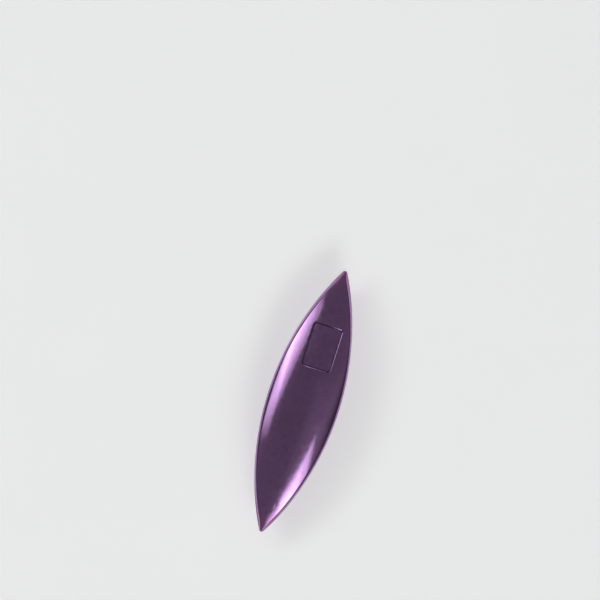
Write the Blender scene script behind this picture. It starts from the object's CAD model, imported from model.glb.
import bpy
import bmesh
from math import atan, atan2, cos, pi, radians, sin, sqrt, tan
from mathutils import Matrix, Vector


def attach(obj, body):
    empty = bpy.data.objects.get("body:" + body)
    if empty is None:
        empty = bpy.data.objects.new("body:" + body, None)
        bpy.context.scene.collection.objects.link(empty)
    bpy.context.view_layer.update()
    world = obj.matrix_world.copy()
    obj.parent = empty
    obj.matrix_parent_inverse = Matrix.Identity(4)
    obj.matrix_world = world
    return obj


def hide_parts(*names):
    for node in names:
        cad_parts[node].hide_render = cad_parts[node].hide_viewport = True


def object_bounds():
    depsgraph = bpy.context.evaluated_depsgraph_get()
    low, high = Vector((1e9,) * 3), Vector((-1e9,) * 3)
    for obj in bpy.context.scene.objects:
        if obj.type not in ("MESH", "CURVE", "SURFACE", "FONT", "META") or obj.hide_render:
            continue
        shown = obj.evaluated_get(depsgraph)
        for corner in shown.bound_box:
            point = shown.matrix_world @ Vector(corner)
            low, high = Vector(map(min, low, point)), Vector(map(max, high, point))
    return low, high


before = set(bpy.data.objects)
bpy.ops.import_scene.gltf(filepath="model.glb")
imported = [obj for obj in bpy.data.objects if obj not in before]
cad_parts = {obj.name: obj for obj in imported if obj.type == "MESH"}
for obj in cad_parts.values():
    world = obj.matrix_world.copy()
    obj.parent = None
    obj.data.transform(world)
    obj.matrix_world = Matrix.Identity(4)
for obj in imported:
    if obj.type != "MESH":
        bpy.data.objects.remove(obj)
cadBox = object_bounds()

# The shuttle lies along X, is 2 half widths across in Y, and its two blades meet at z = 0.
halfLength, halfWidth, halfThickness = [min(high, -low) for low, high in zip(*cadBox)]
mm = 0.001
photoSize = 600                                   # the photograph is square, in pixels


def note(words):
    print("shuttle:", words)


# Nodes: a value is a number, a colour or another node's output

def feed(tree, socket, value):
    if isinstance(value, (int, float)):
        socket.default_value = value
    elif isinstance(value, tuple):
        socket.default_value = (*value, 1)
    else:
        tree.links.new(value, socket)


def combine(tree, operation, first, second):
    math = tree.nodes.new("ShaderNodeMath")
    math.operation = operation
    feed(tree, math.inputs[0], first)
    feed(tree, math.inputs[1], second)
    return math.outputs[0]


def shared(tree, shares, values):
    # the sum of the values, each times its share
    total = 0
    for share, value in zip(shares, values):
        total = combine(tree, "ADD", total, combine(tree, "MULTIPLY", value, share))
    return total


def ranged(tree, value, limits, results=(0.0, 1.0), soft=False):
    # between its limits a value becomes one between the results
    spread = tree.nodes.new("ShaderNodeMapRange")
    if soft:
        spread.interpolation_type = "SMOOTHSTEP"
    feed(tree, spread.inputs["Value"], value)
    for socket, number in zip(("From Min", "From Max", "To Min", "To Max"), (*limits, *results)):
        feed(tree, spread.inputs[socket], number)
    return spread.outputs["Result"]


def blend(tree, share, first, second):
    mix = tree.nodes.new("ShaderNodeMixRGB")
    feed(tree, mix.inputs["Fac"], share)
    feed(tree, mix.inputs["Color1"], first)
    feed(tree, mix.inputs["Color2"], second)
    return mix.outputs["Color"]


def vertexValue(tree, name):
    attribute = tree.nodes.new("ShaderNodeAttribute")
    attribute.attribute_name = name
    return attribute.outputs["Fac"]


def noiseAt(tree, place, scale, detail):
    noise = tree.nodes.new("ShaderNodeTexNoise")
    noise.inputs["Scale"].default_value = scale
    noise.inputs["Detail"].default_value = detail
    tree.links.new(place, noise.inputs["Vector"])
    return noise.outputs["Fac"]


def linesAt(tree, place, scales, detail, turn=0):
    # noise drawn out into lines by its three scales, turned about Z by some degrees
    mapping = tree.nodes.new("ShaderNodeMapping")
    mapping.inputs["Scale"].default_value = scales
    mapping.inputs["Rotation"].default_value = (0, 0, radians(turn))
    tree.links.new(place, mapping.inputs["Vector"])
    return noiseAt(tree, mapping.outputs["Vector"], 1, detail)


def bumpFrom(tree, height, distance, shader):
    bump = tree.nodes.new("ShaderNodeBump")
    bump.inputs["Distance"].default_value = distance
    tree.links.new(height, bump.inputs["Height"])
    tree.links.new(bump.outputs["Normal"], shader.inputs["Normal"])


# Camera

viewPlace = {
    "topTip": (345.6, 270.9),                     # tips of the shuttle in the photograph, in pixels
    "bottomTip": (260.9, 531.5),
    "distance": 0.3,                              # from where the two blades meet
    "sensor": 36.0,
    "nearest": 0.01,                              # that the camera sees
}


def makeCamera(view):
    topX, topY = view["topTip"]
    bottomX, bottomY = view["bottomTip"]
    lengthInPixels = sqrt((topX - bottomX) ** 2 + (topY - bottomY) ** 2)
    metresPerPixel = 2 * halfLength / lengthInPixels
    lean = atan2(topX - bottomX, bottomY - topY)  # of the shuttle, from upright to the right

    # with the shuttle along X, the picture's up and right directions on the floor
    up = Vector((cos(lean), sin(lean), 0))
    right = Vector((sin(lean), -cos(lean), 0))
    offRight = ((topX + bottomX) / 2 - photoSize / 2) * metresPerPixel
    offUp = (photoSize / 2 - (topY + bottomY) / 2) * metresPerPixel

    data = bpy.data.cameras.new("camera")
    data.sensor_width = view["sensor"]
    data.lens = view["sensor"] * view["distance"] / (photoSize * metresPerPixel)
    data.clip_start = view["nearest"]
    camera = bpy.data.objects.new("camera", data)
    bpy.context.scene.collection.objects.link(camera)

    target = -right * offRight - up * offUp       # the middle of the picture, seen from the shuttle
    turn = Matrix((right, up, Vector((0, 0, 1)))).transposed().to_4x4()
    camera.matrix_world = Matrix.Translation(target + Vector((0, 0, view["distance"]))) @ turn
    bpy.context.scene.camera = camera
    note("camera, %.1f mm lens, %.4f mm per pixel" % (data.lens, metresPerPixel / mm))
    return up, right


pictureUp, pictureRight = makeCamera(viewPlace)


# Light: soft boxes lying level above the table, a dim ceiling and pale walls

# corner is right and up in the picture, and it and all lengths are shares of the height above the
# table. edge is the bearing of the inner edge from that corner, in degrees left of the picture's up.
# length is that of the inner edge, and depth is how far the box reaches from it, to its left where
# side is 1 and to its right where it is -1. The light fades in over fade from the inner edge, over
# outer from the far one, and over start and end from the two ends.
softLights = {
    "upperLeft": {"corner": (-1.0, 0.05), "edge": -56, "length": 1.02, "depth": 0.9, "side": 1,
                  "radiance": 3.45, "fade": 0.40, "start": 0.22, "end": 0.38, "outer": 0.25},
    "left": {"corner": (-0.844, 0.851), "edge": 172.6, "length": 0.97, "depth": 0.7, "side": -1,
             "radiance": 1.78, "fade": 0.25, "start": 0, "end": 0.2, "outer": 0.1},
    "lowerRight": {"corner": (0.74, -0.545), "edge": 112, "length": 0.78, "depth": 0.5, "side": 1,
                   "radiance": 1.85, "fade": 0, "start": 0.06, "end": 0.06, "outer": 0},
    "lowerRightCore": {"corner": (0.56, -0.72), "edge": 110, "length": 0.84, "depth": 0.8, "side": 1,
                       "radiance": 4.65, "fade": 0.2, "start": 0.42, "end": 0.03, "outer": 0.1},
    "upperTip": {"corner": (-0.3, 0.95), "edge": -90, "length": 0.75, "depth": 0.6, "side": 1,
                 "radiance": 1.3, "fade": 0.1, "start": 0.05, "end": 0.2, "outer": 0.2},
    "rightGlow": {"corner": (0.24, 0.05), "edge": 162, "length": 0.85, "depth": 1.15, "side": 1,
                  "radiance": 0.13, "fade": 0.4, "start": 0.4, "end": 0.15, "outer": 0.3},
}
roomLight = {
    "height": 1.2,                                # of the soft boxes, in metres
    "layers": 4,                                  # of each box
    "layerGap": 0.002,
    "tint": (0.91, 1.0, 0.925),                   # the faint green of fluorescent tubes
    # brightness of the room by height on the unit sphere, from pale low walls to a dim ceiling
    "stops": ((0.0, 0.75), (0.10, 0.75), (0.15, 0.07), (0.46, 0.07),
              (0.57, 0.23), (0.72, 0.20), (1.0, 0.176)),
    "backdrop": (0.78, 0.78, 0.78),               # what the camera sees behind the floor
}


def bearingLine(bearing):
    turn = radians(bearing)
    return pictureUp * cos(turn) - pictureRight * sin(turn)


def makeSoftLight(name, box, room, firstLayer):
    # a stack of thin layers, each smaller than the one below it, so that the light fades at its edges
    along = bearingLine(box["edge"])
    outward = bearingLine(box["edge"] + 90 * box["side"])
    right, up = box["corner"]
    for layer in range(room["layers"]):
        share = layer / (room["layers"] - 1)
        height = room["height"] + (firstLayer + layer) * room["layerGap"]
        length = (box["length"] - share * (box["start"] + box["end"])) * height
        depth = (box["depth"] - share * (box["fade"] + box["outer"])) * height
        fadeIn = share * (box["start"] * along + box["fade"] * outward)
        corner = (pictureRight * right + pictureUp * up + fadeIn) * height

        data = bpy.data.lights.new(name, "AREA")
        data.shape = "RECTANGLE"
        data.color = room["tint"]
        data.size = length
        data.size_y = depth
        data.energy = box["radiance"] / room["layers"] * pi * length * depth
        light = bpy.data.objects.new(name, data)
        bpy.context.scene.collection.objects.link(light)
        place = corner + along * length / 2 + outward * depth / 2 + Vector((0, 0, height))
        light.matrix_world = Matrix.Translation(place) @ Matrix.Rotation(atan2(along.y, along.x), 4, "Z")
        light.visible_camera = False


def makeRoom(room):
    world = bpy.data.worlds.new("studio")
    world.use_nodes = True
    bpy.context.scene.world = world
    tree = world.node_tree
    tree.nodes.clear()

    # height picks the room's grey from a ramp, whose first element is there from the start
    parts = tree.nodes.new("ShaderNodeSeparateXYZ")
    tree.links.new(tree.nodes.new("ShaderNodeTexCoord").outputs["Generated"], parts.inputs[0])
    shade = tree.nodes.new("ShaderNodeValToRGB")
    tree.links.new(parts.outputs["Z"], shade.inputs["Fac"])
    elements = shade.color_ramp.elements
    elements.remove(elements[-1])
    elements[0].position, level = room["stops"][0]
    elements[0].color = (level, level, level, 1)
    for height, level in room["stops"][1:]:
        elements.new(height).color = (level, level, level, 1)

    seen = tree.nodes.new("ShaderNodeLightPath").outputs["Is Camera Ray"]
    background = tree.nodes.new("ShaderNodeBackground")
    feed(tree, background.inputs["Color"], blend(tree, seen, shade.outputs["Color"], room["backdrop"]))
    output = tree.nodes.new("ShaderNodeOutputWorld")
    tree.links.new(background.outputs[0], output.inputs["Surface"])


for order, lightName in enumerate(softLights):
    makeSoftLight(lightName, softLights[lightName], roomLight, order * roomLight["layers"])
makeRoom(roomLight)
bpy.context.scene.view_settings.view_transform = "Standard"
note("light")


# Blades

bladeForm = {
    "sheet": 0.8 * mm,
    "crownHeight": 2.5 * mm,                      # fall of the crown from the middle line to the rim
    "tipHeight": 0.7 * mm,                        # of the skin at the very tip
    "tipRadius": 0.65 * mm,                       # seen from above
    "innerTipRadius": 0.2 * mm,                   # least rounding of the hollow's point
    "rimDepth": 1.4 * mm,
    "rimLand": 1.6 * mm,                          # where the rims bear on each other
    "bend": 1.2 * mm,                             # outer radius of the turned-down rim
    "bendShare": 0.86,                            # and the most it takes of the rim's depth
    "innerBend": 0.25 * mm,                       # least inner radius
    "innerBendShare": 0.5,                        # and the most it takes of the inner wall
    "lip": 0.17 * mm,                             # height of the rounding of the rim's lower edges
    "lipRun": 0.9,                                # and its width, as a share of the height
    "innerLipShare": 0.3,                         # the most it takes of the inner wall
    "probe": 0.2 * mm,                            # length over which a skin's slope is measured
    "columns": 168,
    "rows": 44,
    "evenColumns": 0.6,                           # share of even spacing, the rest crowds to the tips
    "noseBlend": 0.055,                           # share of the half length that bends to the nose
    "turnSteps": (9, 4, 3, 5),                    # in the outer bend, two lips and inner bend
    # wear of each step round the rim's section, from the outer skin round to the inner one
    "wear": (0, 0, 0.1, 0.3, 0.55, 0.7, 0.7, 0.6, 0.5, 0.4, 0.6, 0.9, 1, 1, 0.8,
             0.6, 0.7, 0.5, 0.3, 0.1, 0, 0, 0, 0, 0),
}


def arcRadius(halfSpan, rise):
    return (halfSpan ** 2 + rise ** 2) / (2 * rise)


crownRadius = arcRadius(halfWidth, bladeForm["crownHeight"])
bowRadius = arcRadius(halfLength, halfThickness - bladeForm["tipHeight"])
rimBowRadius = arcRadius(halfLength - bladeForm["rimLand"], halfThickness - bladeForm["rimDepth"])

# The leaf's two long arcs touch the roundings of the tips.
noseX = halfLength - bladeForm["tipRadius"]
sideRise = halfWidth - bladeForm["tipRadius"]
sideRadius = (noseX ** 2 + halfWidth ** 2 - bladeForm["tipRadius"] ** 2) / (2 * sideRise)
sideCentre = sideRadius - halfWidth               # past the far side


def skinHeight(x, y, top, bow, crown):
    reach = bow - crown + sqrt(crown ** 2 - y ** 2)
    return top - bow + sqrt(reach ** 2 - x ** 2)


def outerHeight(x, y):
    return skinHeight(x, y, halfThickness, bowRadius, crownRadius)


def innerHeight(x, y):
    sheet = bladeForm["sheet"]
    return skinHeight(x, y, halfThickness - sheet, bowRadius - sheet, crownRadius - sheet)


def rimHeight(x, y):
    return max(0.0, skinHeight(x, y, halfThickness - bladeForm["rimDepth"], rimBowRadius, crownRadius))


def leafPoint(u, v, inset, height):
    # u runs from tip to tip and v across, both from -1 to 1, inside the leaf's outline
    side = sideRadius - inset
    tip = max(bladeForm["tipRadius"] - inset, bladeForm["innerTipRadius"])
    nose = sqrt((side - tip) ** 2 - sideCentre ** 2)
    turn = atan2(nose, sideCentre)
    x = side * sin(u * turn)
    y = v * (side * cos(u * turn) - sideCentre)
    noseShare = max(0.0, 1 - (1 - abs(u)) / bladeForm["noseBlend"]) ** 2
    if noseShare > 0:
        lead = v * (pi / 2 - turn)                # round the nose
        direction = 1 if u > 0 else -1
        x += noseShare * direction * (nose + tip * cos(lead) - side * sin(turn))
        y += noseShare * (tip * sin(lead) - v * tip * cos(turn))
    return Vector((x, y, height(x, y)))


def roundCorner(start, corner, end, steps):
    toStart = start - corner
    toEnd = end - corner
    middle = (toStart + toEnd) / 2
    centre = corner + middle * (toStart.length * toEnd.length / middle.length_squared)
    radius = (start - centre).length
    turns = [(start - centre).slerp(end - centre, step / steps) for step in range(1, steps)]
    return [start] + [centre + radius * turn for turn in turns] + [end]


def bendInset(u, v, inset, radius, height):
    # how far in from a wall the skin starts to bend down to it, and the length of wall in the bend
    probe = bladeForm["probe"]
    corner = leafPoint(u, v, inset, height)
    slope = atan((leafPoint(u, v, inset + probe, height).z - corner.z) / probe)
    reach = radius * tan((pi / 2 - slope) / 2)
    return reach * cos(slope), reach


def rimSection(u, v, form):
    # the rim at one place on the outline, from the outer skin round to the inner one, and how far
    # in from the outline each skin starts to bend
    up = Vector((0, 0, 1))
    sheet = form["sheet"]
    corner = leafPoint(u, v, 0, outerHeight)
    foot = leafPoint(u, v, 0, rimHeight)
    radius = min(form["bend"], form["bendShare"] * (corner.z - foot.z))
    outerInset, outerReach = bendInset(u, v, 0, radius, outerHeight)

    innerCorner = leafPoint(u, v, sheet, innerHeight)
    innerFoot = leafPoint(u, v, sheet, rimHeight)
    innerWall = innerCorner.z - innerFoot.z
    innerRadius = max(radius - sheet, form["innerBend"])
    innerInset, innerReach = bendInset(u, v, sheet, innerRadius, innerHeight)
    mostReach = form["innerBendShare"] * innerWall
    if innerReach > mostReach:
        innerRadius *= mostReach / innerReach
        innerInset, innerReach = bendInset(u, v, sheet, innerRadius, innerHeight)

    lip = form["lip"]
    innerLip = min(lip, form["innerLipShare"] * innerWall)
    outerEdge = leafPoint(u, v, outerInset, outerHeight)
    outerLand = leafPoint(u, v, lip * form["lipRun"], rimHeight)
    innerLand = leafPoint(u, v, sheet - innerLip * form["lipRun"], rimHeight)
    innerEdge = leafPoint(u, v, sheet + innerInset, innerHeight)
    corners = (
        (outerEdge, corner, corner - up * outerReach),
        (foot + up * lip, foot, outerLand),
        (innerLand, innerFoot, innerFoot + up * innerLip),
        (innerCorner - up * innerReach, innerCorner, innerEdge),
    )
    section = []
    for (start, middle, end), steps in zip(corners, form["turnSteps"]):
        section += roundCorner(start, middle, end, steps)
    return section, (outerInset, sheet + innerInset)


def sectionAt(sections, u, v, form):
    key = (round(u, 4), round(v, 4))
    if key not in sections:
        sections[key] = rimSection(u, v, form)
    return sections[key]


def laySkin(blade, sections, side, form):
    # a grid laid on one side of the sheet, up to where it bends down into the rim. side is 0 for
    # the outer skin, where the rim's sections begin, and 1 for the inner one, where they end
    height = (outerHeight, innerHeight)[side]
    grid = bmesh.ops.create_grid(blade, x_segments=form["columns"], y_segments=form["rows"], size=1)
    outline = {}
    for vertex in grid["verts"]:
        column, v = vertex.co.xy
        u = form["evenColumns"] * column + (1 - form["evenColumns"]) * sin(column * pi / 2)
        if vertex.is_boundary:
            outline[vertex] = sectionAt(sections, u, v, form)[0]
            vertex.co = outline[vertex][-side]
        else:
            insets = sectionAt(sections, u, 1, form)[1]
            vertex.co = leafPoint(u, v, insets[side], height)
    return outline


# Struck panel of the upper blade, left bare

panelForm = {
    "centre": (13.48 * mm, -0.19 * mm),
    "length": 10.4 * mm,                          # along the shuttle
    "width": 7.15 * mm,
    "corner": 0.5 * mm,
    # width and depth of each step down the wall, and the polish that has settled at its foot
    "wall": ((0.05 * mm, 0.012 * mm, 0.09), (0.13 * mm, 0.12 * mm, 0.99), (0.06 * mm, 0.014 * mm, 1.0)),
    "dish": 0.07 * mm,                            # how much flatter the ground is than the crown
    "cuts": 16,                                   # straight cuts that shape its outline
    "snap": 0.1 * mm,                             # vertices this close come onto the outline first
    "sideReach": 0.5 * mm,                        # past the outline, where a long side is cut
    "cornerReach": 0.3 * mm,                      # past a corner's arc, where the corner is cut
    "cutMerge": 0.03 * mm,
    "merge": 0.05 * mm,                           # of vertices on the outline
}


def unique(items):
    return list(dict.fromkeys(items))


def strikePanel(blade, panel):
    # a shallow recess with rounded corners, pressed into the outer skin
    middle = Vector((*panel["centre"], 0))
    half = Vector((panel["length"] / 2, panel["width"] / 2, 0))
    corner = panel["corner"]
    settled = blade.verts.layers.float["settled"]

    def nearest(place):
        # in the rectangle through the middles of the corners' arcs
        spans = zip(half.xy, (place - middle).xy)
        core = [max(corner - size, min(size - corner, value)) for size, value in spans]
        return middle + Vector((*core, 0))

    def beyond(place):
        # how far a place lies outside the panel's outline
        return (place.xy - nearest(place).xy).length - corner

    def ontoOutline(vertex):
        core = nearest(vertex.co)
        out = Vector((*(vertex.co - core).xy, 0)).normalized()
        vertex.co = core + out * corner
        vertex.co.z = outerHeight(vertex.co.x, vertex.co.y)

    def facesWithin(reach):
        return [face for face in blade.faces if beyond(face.calc_center_median()) < reach]

    for vertex in blade.verts:
        if abs(beyond(vertex.co)) < panel["snap"]:
            ontoOutline(vertex)
    for step in range(panel["cuts"]):
        turn = 2 * pi * step / panel["cuts"]
        out = Vector((cos(turn), sin(turn), 0))
        touch = nearest(middle + out)             # a metre away, so well past the outline
        if step % (panel["cuts"] // 4) == 0:
            near = facesWithin(panel["sideReach"])
        else:
            reach = corner + panel["cornerReach"]
            near = [face for face in blade.faces if (face.calc_center_median() - touch).xy.length < reach]
        edges = unique(edge for face in near for edge in face.edges)
        verts = unique(vertex for face in near for vertex in face.verts)
        bmesh.ops.bisect_plane(blade, geom=near + edges + verts, dist=panel["cutMerge"],
                               plane_co=touch + out * corner, plane_no=out)

    struck = facesWithin(0)
    border = unique(vertex for face in struck for vertex in face.verts
                    if any(beyond(other.calc_center_median()) > 0 for other in vertex.link_faces))
    for vertex in border:
        ontoOutline(vertex)
    bmesh.ops.remove_doubles(blade, verts=border, dist=panel["merge"])

    # the cuts' new vertices, here and in the faces around, come back up to the skin
    struck = facesWithin(0)
    around = unique(other for face in struck for edge in face.edges for other in edge.link_faces)
    for vertex in unique(vertex for face in around for vertex in face.verts):
        vertex.co.z = outerHeight(vertex.co.x, vertex.co.y)

    deep = 0
    for width, drop, polish in panel["wall"]:
        deep += drop
        bmesh.ops.inset_region(blade, faces=struck, thickness=0, depth=0, use_boundary=True)
        shrinkX, shrinkY = [1 - width / size for size in half.xy]
        inside = set(struck)
        for vertex in unique(vertex for face in struck for vertex in face.verts):
            x = middle.x + (vertex.co.x - middle.x) * shrinkX
            y = middle.y + (vertex.co.y - middle.y) * shrinkY
            dish = panel["dish"] * max(0, 1 - ((y - middle.y) / half.y) ** 2)
            vertex.co = (x, y, outerHeight(x, y) - deep - dish)
            if any(face not in inside for face in vertex.link_faces):
                vertex[settled] = polish
    for face in struck:
        face.material_index = 1


def parentOf(vertex, outline):
    for edge in vertex.link_edges:
        other = edge.other_vert(vertex)
        if other in outline:
            return other


def bladeMesh(form, panel=None):
    sections = {}
    blade = bmesh.new()
    blade.verts.layers.float.new("settled")
    rimWear = blade.verts.layers.float.new("rimWear")
    outline = laySkin(blade, sections, 0, form)
    if panel:
        strikePanel(blade, panel)
    for step in range(1, len(form["wear"]) - 1):
        loop = [edge for edge in blade.edges if edge.is_boundary]
        grown = bmesh.ops.extrude_edge_only(blade, edges=loop)["geom"]
        fresh = [item for item in grown if isinstance(item, bmesh.types.BMVert)]
        outline = {vertex: outline[parentOf(vertex, outline)] for vertex in fresh}
        for vertex, section in outline.items():
            vertex.co = section[step]
            vertex[rimWear] = form["wear"][step]
    laySkin(blade, sections, 1, form)
    ends = [edge for edge in blade.edges if edge.is_boundary]
    bmesh.ops.bridge_loops(blade, edges=ends)
    bmesh.ops.recalc_face_normals(blade, faces=blade.faces[:])
    return blade


def addPiece(name, mesh, materials, slotName, *nodes):
    data = bpy.data.meshes.new(name)
    mesh.to_mesh(data)
    mesh.free()
    data.shade_smooth()
    for material in materials:
        data.materials.append(material)
    piece = bpy.data.objects.new(name, data)
    bpy.context.scene.collection.objects.link(piece)
    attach(piece, "root")
    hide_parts(*nodes)


# Materials

anodising = {
    "dye": (0.40, 0.215, 0.46),
    "deepDye": (0.345, 0.178, 0.40),              # in soft patches
    "tipDye": (0.44, 0.185, 0.41),                # a redder tinge towards the tips
    "tipStart": 25 * mm,
    "bare": (0.60, 0.47, 0.64),                   # thin dye on worn edges
    "wornShare": 0.3,
    "wearRange": (0.40, 0.60),                    # of the cloud, so that the wear is uneven
    "residue": (0.09, 0.05, 0.11),                # polish dried in the recess
    # scale per metre and detail of each noise
    "patches": (170, 3),
    "cloud": (950, 4),
    "grain": (4200, 3),
    "mottle": (0.45, 0.35, 0.2),                  # their shares in the dye
    "mottleRange": (0.38, 0.62),
    "drawn": ((60, 1900, 1900), 4),               # fine lines along the shuttle, from polishing
    "scratches": (((25, 900, 900), 2, 24), ((30, 1100, 1100), 2, -38)),
    "scratchRange": (0.66, 0.74),
    "roughness": 0.135,
    "roughSpread": 0.03,
    "roughMix": (0.5, 0.5),                       # shares of the cloud and the drawn lines
    "roughRange": (0.35, 0.65),
    "wornRoughness": 0.12,
    "scratchRoughness": 0.06,
    "relief": (0.6, 0.4, -0.5),                   # of the grain, the drawn lines and the scratches
    "bump": 0.003 * mm,
}
struckAnodising = dict(anodising, deepDye=(0.33, 0.17, 0.385), grain=(2600, 3), roughness=0.2,
                       roughSpread=0.05, bump=0.004 * mm)
postAnodising = dict(anodising, dye=(0.38, 0.205, 0.44), drawn=((2200, 2200, 70), 4), roughness=0.24,
                     bump=0.004 * mm, tipStart=40 * mm)


def newMaterial(name):
    material = bpy.data.materials.new(name)
    material.use_nodes = True
    return material, material.node_tree, material.node_tree.nodes["Principled BSDF"]


def anodised(name, look):
    material, tree, shader = newMaterial(name)
    place = tree.nodes.new("ShaderNodeTexCoord").outputs["Object"]
    patches = noiseAt(tree, place, *look["patches"])
    cloud = noiseAt(tree, place, *look["cloud"])
    grain = noiseAt(tree, place, *look["grain"])
    drawn = linesAt(tree, place, *look["drawn"])
    scratches = 0
    for scratch in look["scratches"]:
        lines = ranged(tree, linesAt(tree, place, *scratch), look["scratchRange"])
        scratches = combine(tree, "MAXIMUM", scratches, lines)

    # colour: soft patches, cloud and grain in the dye, a redder tinge at the tips, thin dye on worn edges
    parts = tree.nodes.new("ShaderNodeSeparateXYZ")
    tree.links.new(place, parts.inputs[0])
    fromMiddle = combine(tree, "ABSOLUTE", parts.outputs["X"], 0)
    tips = ranged(tree, fromMiddle, (look["tipStart"], halfLength), soft=True)
    mottle = shared(tree, look["mottle"], (patches, cloud, grain))
    dye = blend(tree, ranged(tree, mottle, look["mottleRange"]), look["deepDye"], look["dye"])
    dye = blend(tree, tips, dye, look["tipDye"])
    uneven = ranged(tree, cloud, look["wearRange"])
    wear = combine(tree, "MULTIPLY", vertexValue(tree, "rimWear"), uneven)
    wear = combine(tree, "MULTIPLY", wear, look["wornShare"])
    dye = blend(tree, wear, dye, look["bare"])
    dye = blend(tree, vertexValue(tree, "settled"), dye, look["residue"])
    tree.links.new(dye, shader.inputs["Base Color"])

    # gloss: duller in the cloud, on worn edges and in scratches
    least = look["roughness"] - look["roughSpread"]
    most = look["roughness"] + look["roughSpread"]
    rough = ranged(tree, shared(tree, look["roughMix"], (cloud, drawn)), look["roughRange"], (least, most))
    rough = shared(tree, (1, look["wornRoughness"], look["scratchRoughness"]), (rough, wear, scratches))
    tree.links.new(rough, shader.inputs["Roughness"])
    shader.inputs["Metallic"].default_value = 1

    relief = shared(tree, look["relief"], (grain, drawn, scratches))
    bumpFrom(tree, relief, look["bump"], shader)
    return material


floorLook = {
    "radius": 0.6,
    "segments": 96,
    "paint": (0.86, 0.822, 0.857),                # a touch of pink evens out the green of the tubes
    "shade": (0.82, 0.783, 0.82),
    "cloud": (35, 4),                             # scale per metre and detail, as for the metal
    "grain": (1500, 3),
    "bump": 0.01 * mm,
    "roughness": 0.85,
    "glow": 0.42,                                 # seen by the camera and by gloss only
}


def paleFloor(look):
    material, tree, shader = newMaterial("pale_floor")
    place = tree.nodes.new("ShaderNodeTexCoord").outputs["Object"]
    paint = blend(tree, noiseAt(tree, place, *look["cloud"]), look["shade"], look["paint"])
    tree.links.new(paint, shader.inputs["Base Color"])
    shader.inputs["Roughness"].default_value = look["roughness"]
    bumpFrom(tree, noiseAt(tree, place, *look["grain"]), look["bump"], shader)

    rays = tree.nodes.new("ShaderNodeLightPath").outputs
    seen = combine(tree, "MAXIMUM", rays["Is Camera Ray"], rays["Is Glossy Ray"])
    seen = combine(tree, "MAXIMUM", seen, rays["Is Transmission Ray"])
    shader.inputs["Emission Color"].default_value = (1, 1, 1, 1)
    tree.links.new(combine(tree, "MULTIPLY", seen, look["glow"]), shader.inputs["Emission Strength"])
    return material


bladeMetal = anodised("anodised_blade", anodising)
struckMetal = anodised("anodised_struck_ground", struckAnodising)
postMetal = anodised("anodised_post", postAnodising)
note("materials")


# Pieces: the lower blade is the upper one's pressing turned over, without the panel

upperMesh = bladeMesh(bladeForm, panelForm)
lowerMesh = bladeMesh(bladeForm)
bmesh.ops.scale(lowerMesh, vec=(1, 1, -1), verts=lowerMesh.verts[:])
bmesh.ops.recalc_face_normals(lowerMesh, faces=lowerMesh.faces[:])
addPiece("upper_blade_pressing", upperMesh, (bladeMetal, struckMetal), "anodised_blade", "upper_blade")
addPiece("lower_blade_pressing", lowerMesh, (bladeMetal,), "anodised_blade", "lower_blade")
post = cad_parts["centre_post"]
post.data.materials.clear()
post.data.materials.append(postMetal)
note("blades and post")


# Floor

def makeFloor(look):
    slab = bmesh.new()
    bmesh.ops.create_circle(slab, cap_ends=True, segments=look["segments"], radius=look["radius"])
    bmesh.ops.translate(slab, vec=(0, 0, -halfThickness), verts=slab.verts[:])
    data = bpy.data.meshes.new("floor")
    slab.to_mesh(data)
    slab.free()
    data.materials.append(paleFloor(look))
    floor = bpy.data.objects.new("floor", data)
    bpy.context.scene.collection.objects.link(floor)


makeFloor(floorLook)
note("floor")
